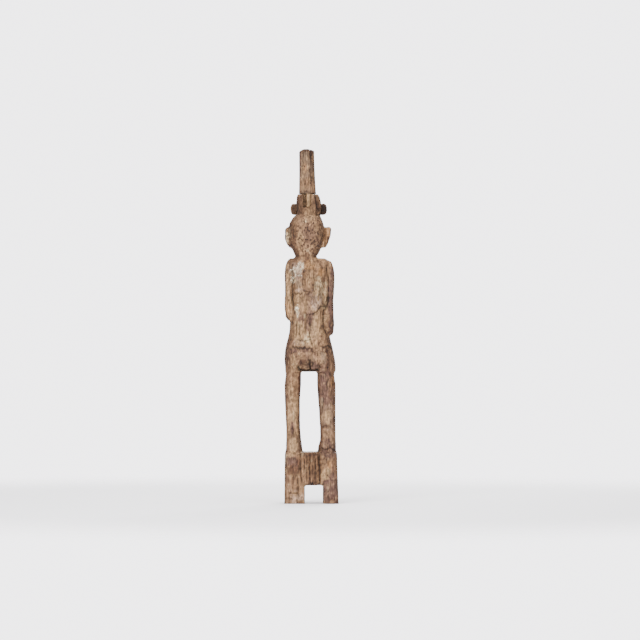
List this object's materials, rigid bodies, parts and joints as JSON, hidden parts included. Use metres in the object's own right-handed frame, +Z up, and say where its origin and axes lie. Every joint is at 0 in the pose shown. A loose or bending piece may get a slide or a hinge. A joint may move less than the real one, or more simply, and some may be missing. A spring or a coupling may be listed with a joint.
{
  "type": "carved standing figure",
  "caption": "Weathered wooden standing figure seen with its back carved plain, arms held to the sides, feet on a slotted base block, and a post rising from a collar on the crown.",
  "frame": {"origin": "on the ground, in the middle of the whole figure's outline seen from above", "axes": "+Z up, +Y out of the figure's face, +X to the right for someone who stands behind it"},
  "size_m": [0.164, 0.124, 1.062],
  "materials": {
    "log_wood": "bare weathered hardwood, cracked and worm-eaten, no varnish",
    "post_wood": "bare grey-brown weathered hardwood",
    "band_wood": "dark dry hardwood",
    "lid_wood": "warm brown bare board",
    "peg_wood": "whittled treenail",
    "nail_iron": "rusted hand-made iron"
  },
  "bodies": {
    "figure": {"figure_log": "log_wood", "brow_band": "band_wood", "back_lid": "lid_wood", "band_peg_left": "peg_wood", "band_peg_right": "peg_wood", "lid_nail_top_left": "nail_iron", "lid_nail_bottom_left": "nail_iron", "lid_nail_bottom_right": "nail_iron"},
    "post": {"crown_post": "post_wood"}
  },
  "joints": [
    {"name": "post_lift", "type": "slide", "parent": "figure", "child": "post", "axis": [0, 0, 1], "range_m": [0, 0.08]}
  ]
}
